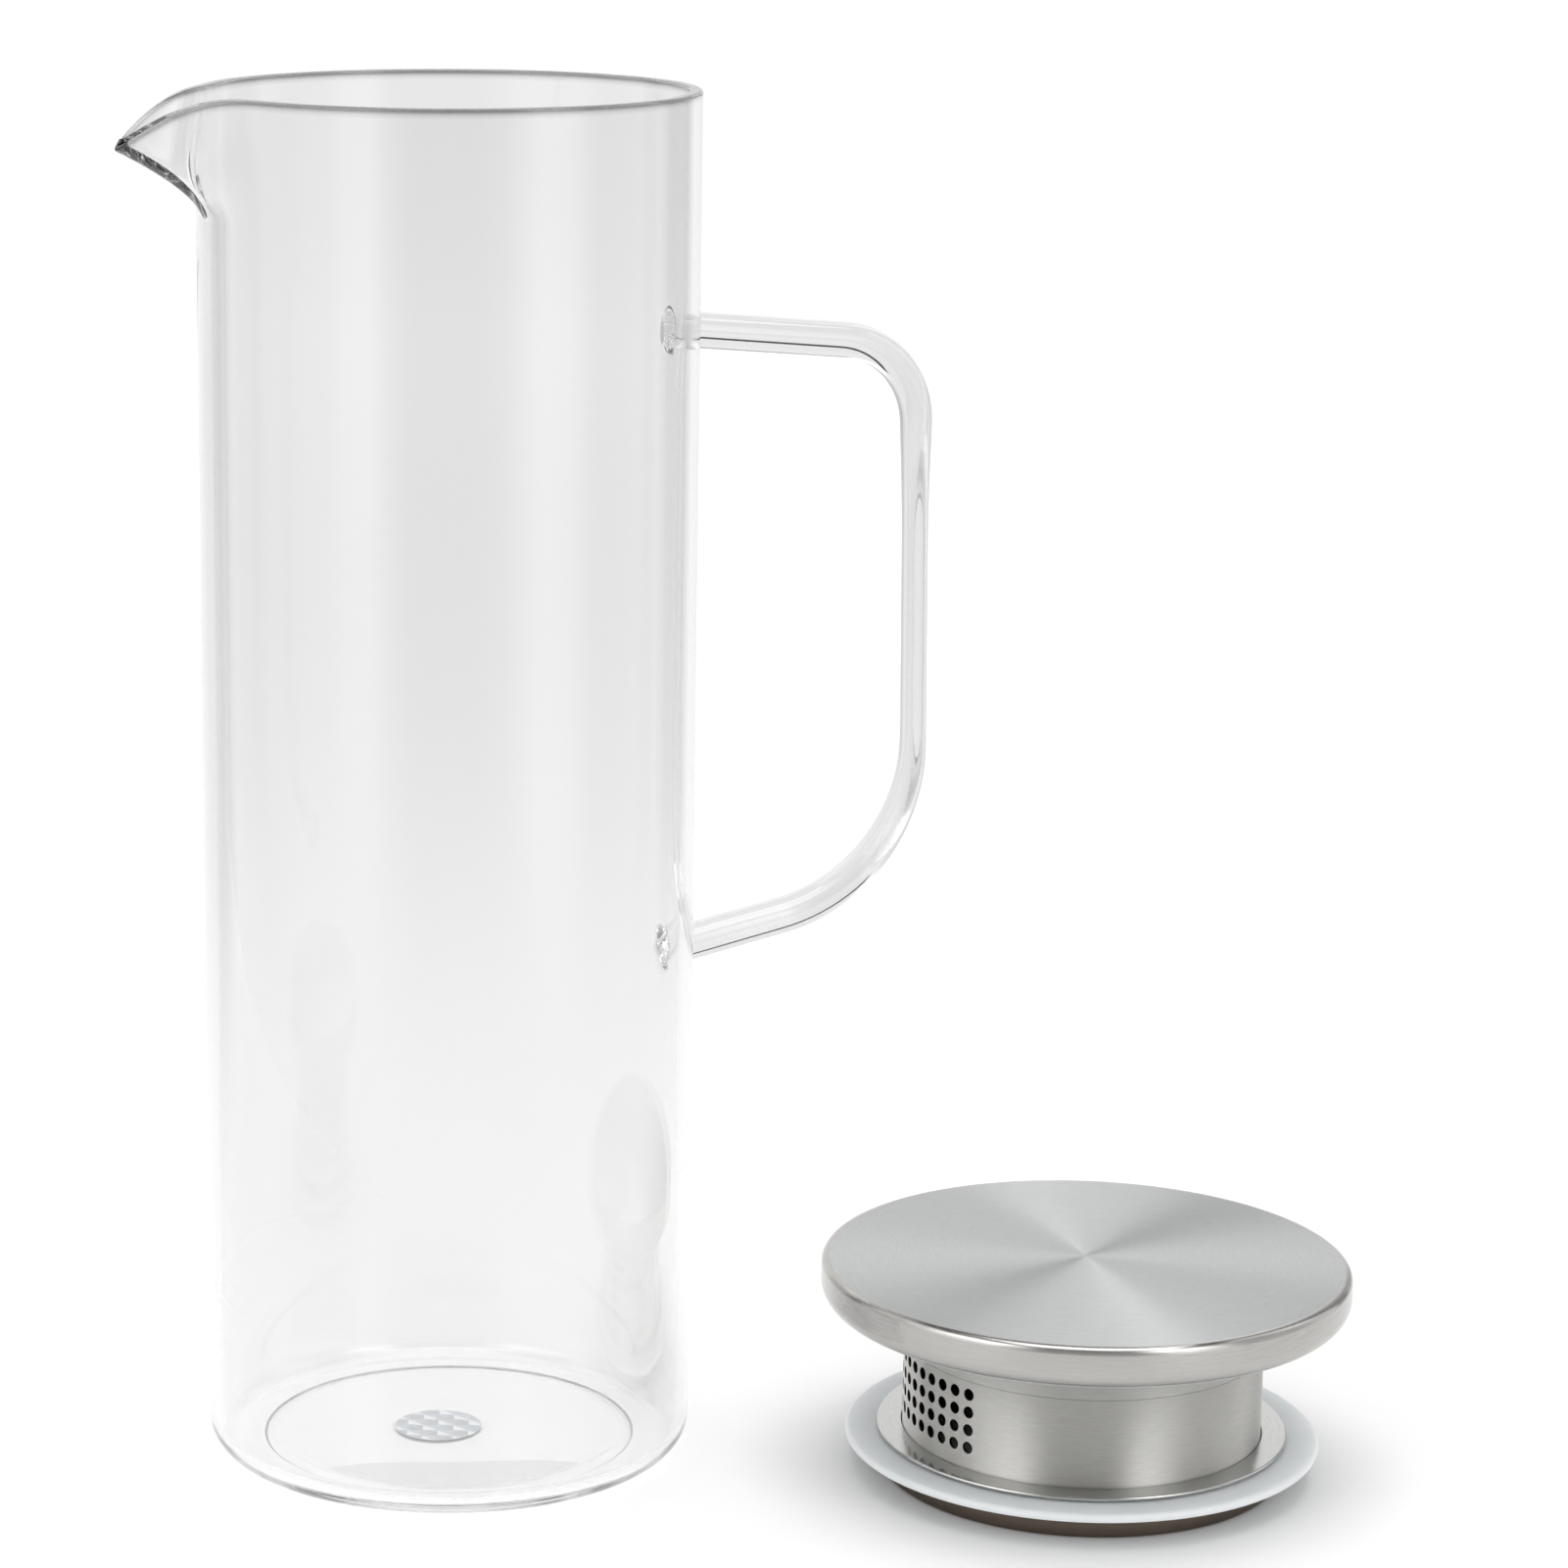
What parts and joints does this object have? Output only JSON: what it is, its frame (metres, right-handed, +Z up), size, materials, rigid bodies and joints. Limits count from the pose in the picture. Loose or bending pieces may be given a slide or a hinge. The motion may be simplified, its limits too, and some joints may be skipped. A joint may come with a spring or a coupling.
{
  "type": "water pitcher with lid",
  "caption": "Tall straight clear glass water pitcher with a pulled spout and loop handle, and a steel strainer lid with a silicone ring standing beside it.",
  "frame": {"origin": "middle of the footprint of the pitcher and the lid beside it, on the table", "axes": "+Z up along the pitcher's axis, +X from the spout towards the handle"},
  "size_m": [0.2401, 0.1618, 0.2805],
  "materials": {
    "clear_glass": "clear, fire-polished",
    "brushed_steel": "circular brushed",
    "silicone": "translucent, satin",
    "foil": "prismatic foil"
  },
  "bodies": {
    "pitcher": {"glass_body": "clear_glass", "glass_handle": "clear_glass", "foil_dot": "foil"},
    "seal": {"seal_ring": "silicone"},
    "lid": {"cap_shell": "brushed_steel", "cap_underplate": "brushed_steel", "neck_collar": "brushed_steel", "strainer_neck": "brushed_steel", "upper_flange": "brushed_steel", "base_ring": "brushed_steel"}
  },
  "joints": [
    {"name": "lid_lift", "type": "slide", "parent": "pitcher", "child": "seal", "axis": [0, 0, 1], "range_m": [0, 0.3]},
    {"name": "lid_turn", "type": "hinge", "parent": "seal", "child": "lid", "pos_m": [0.06585, -0.02681, 0], "axis": [0, 0, 1], "continuous": true}
  ]
}
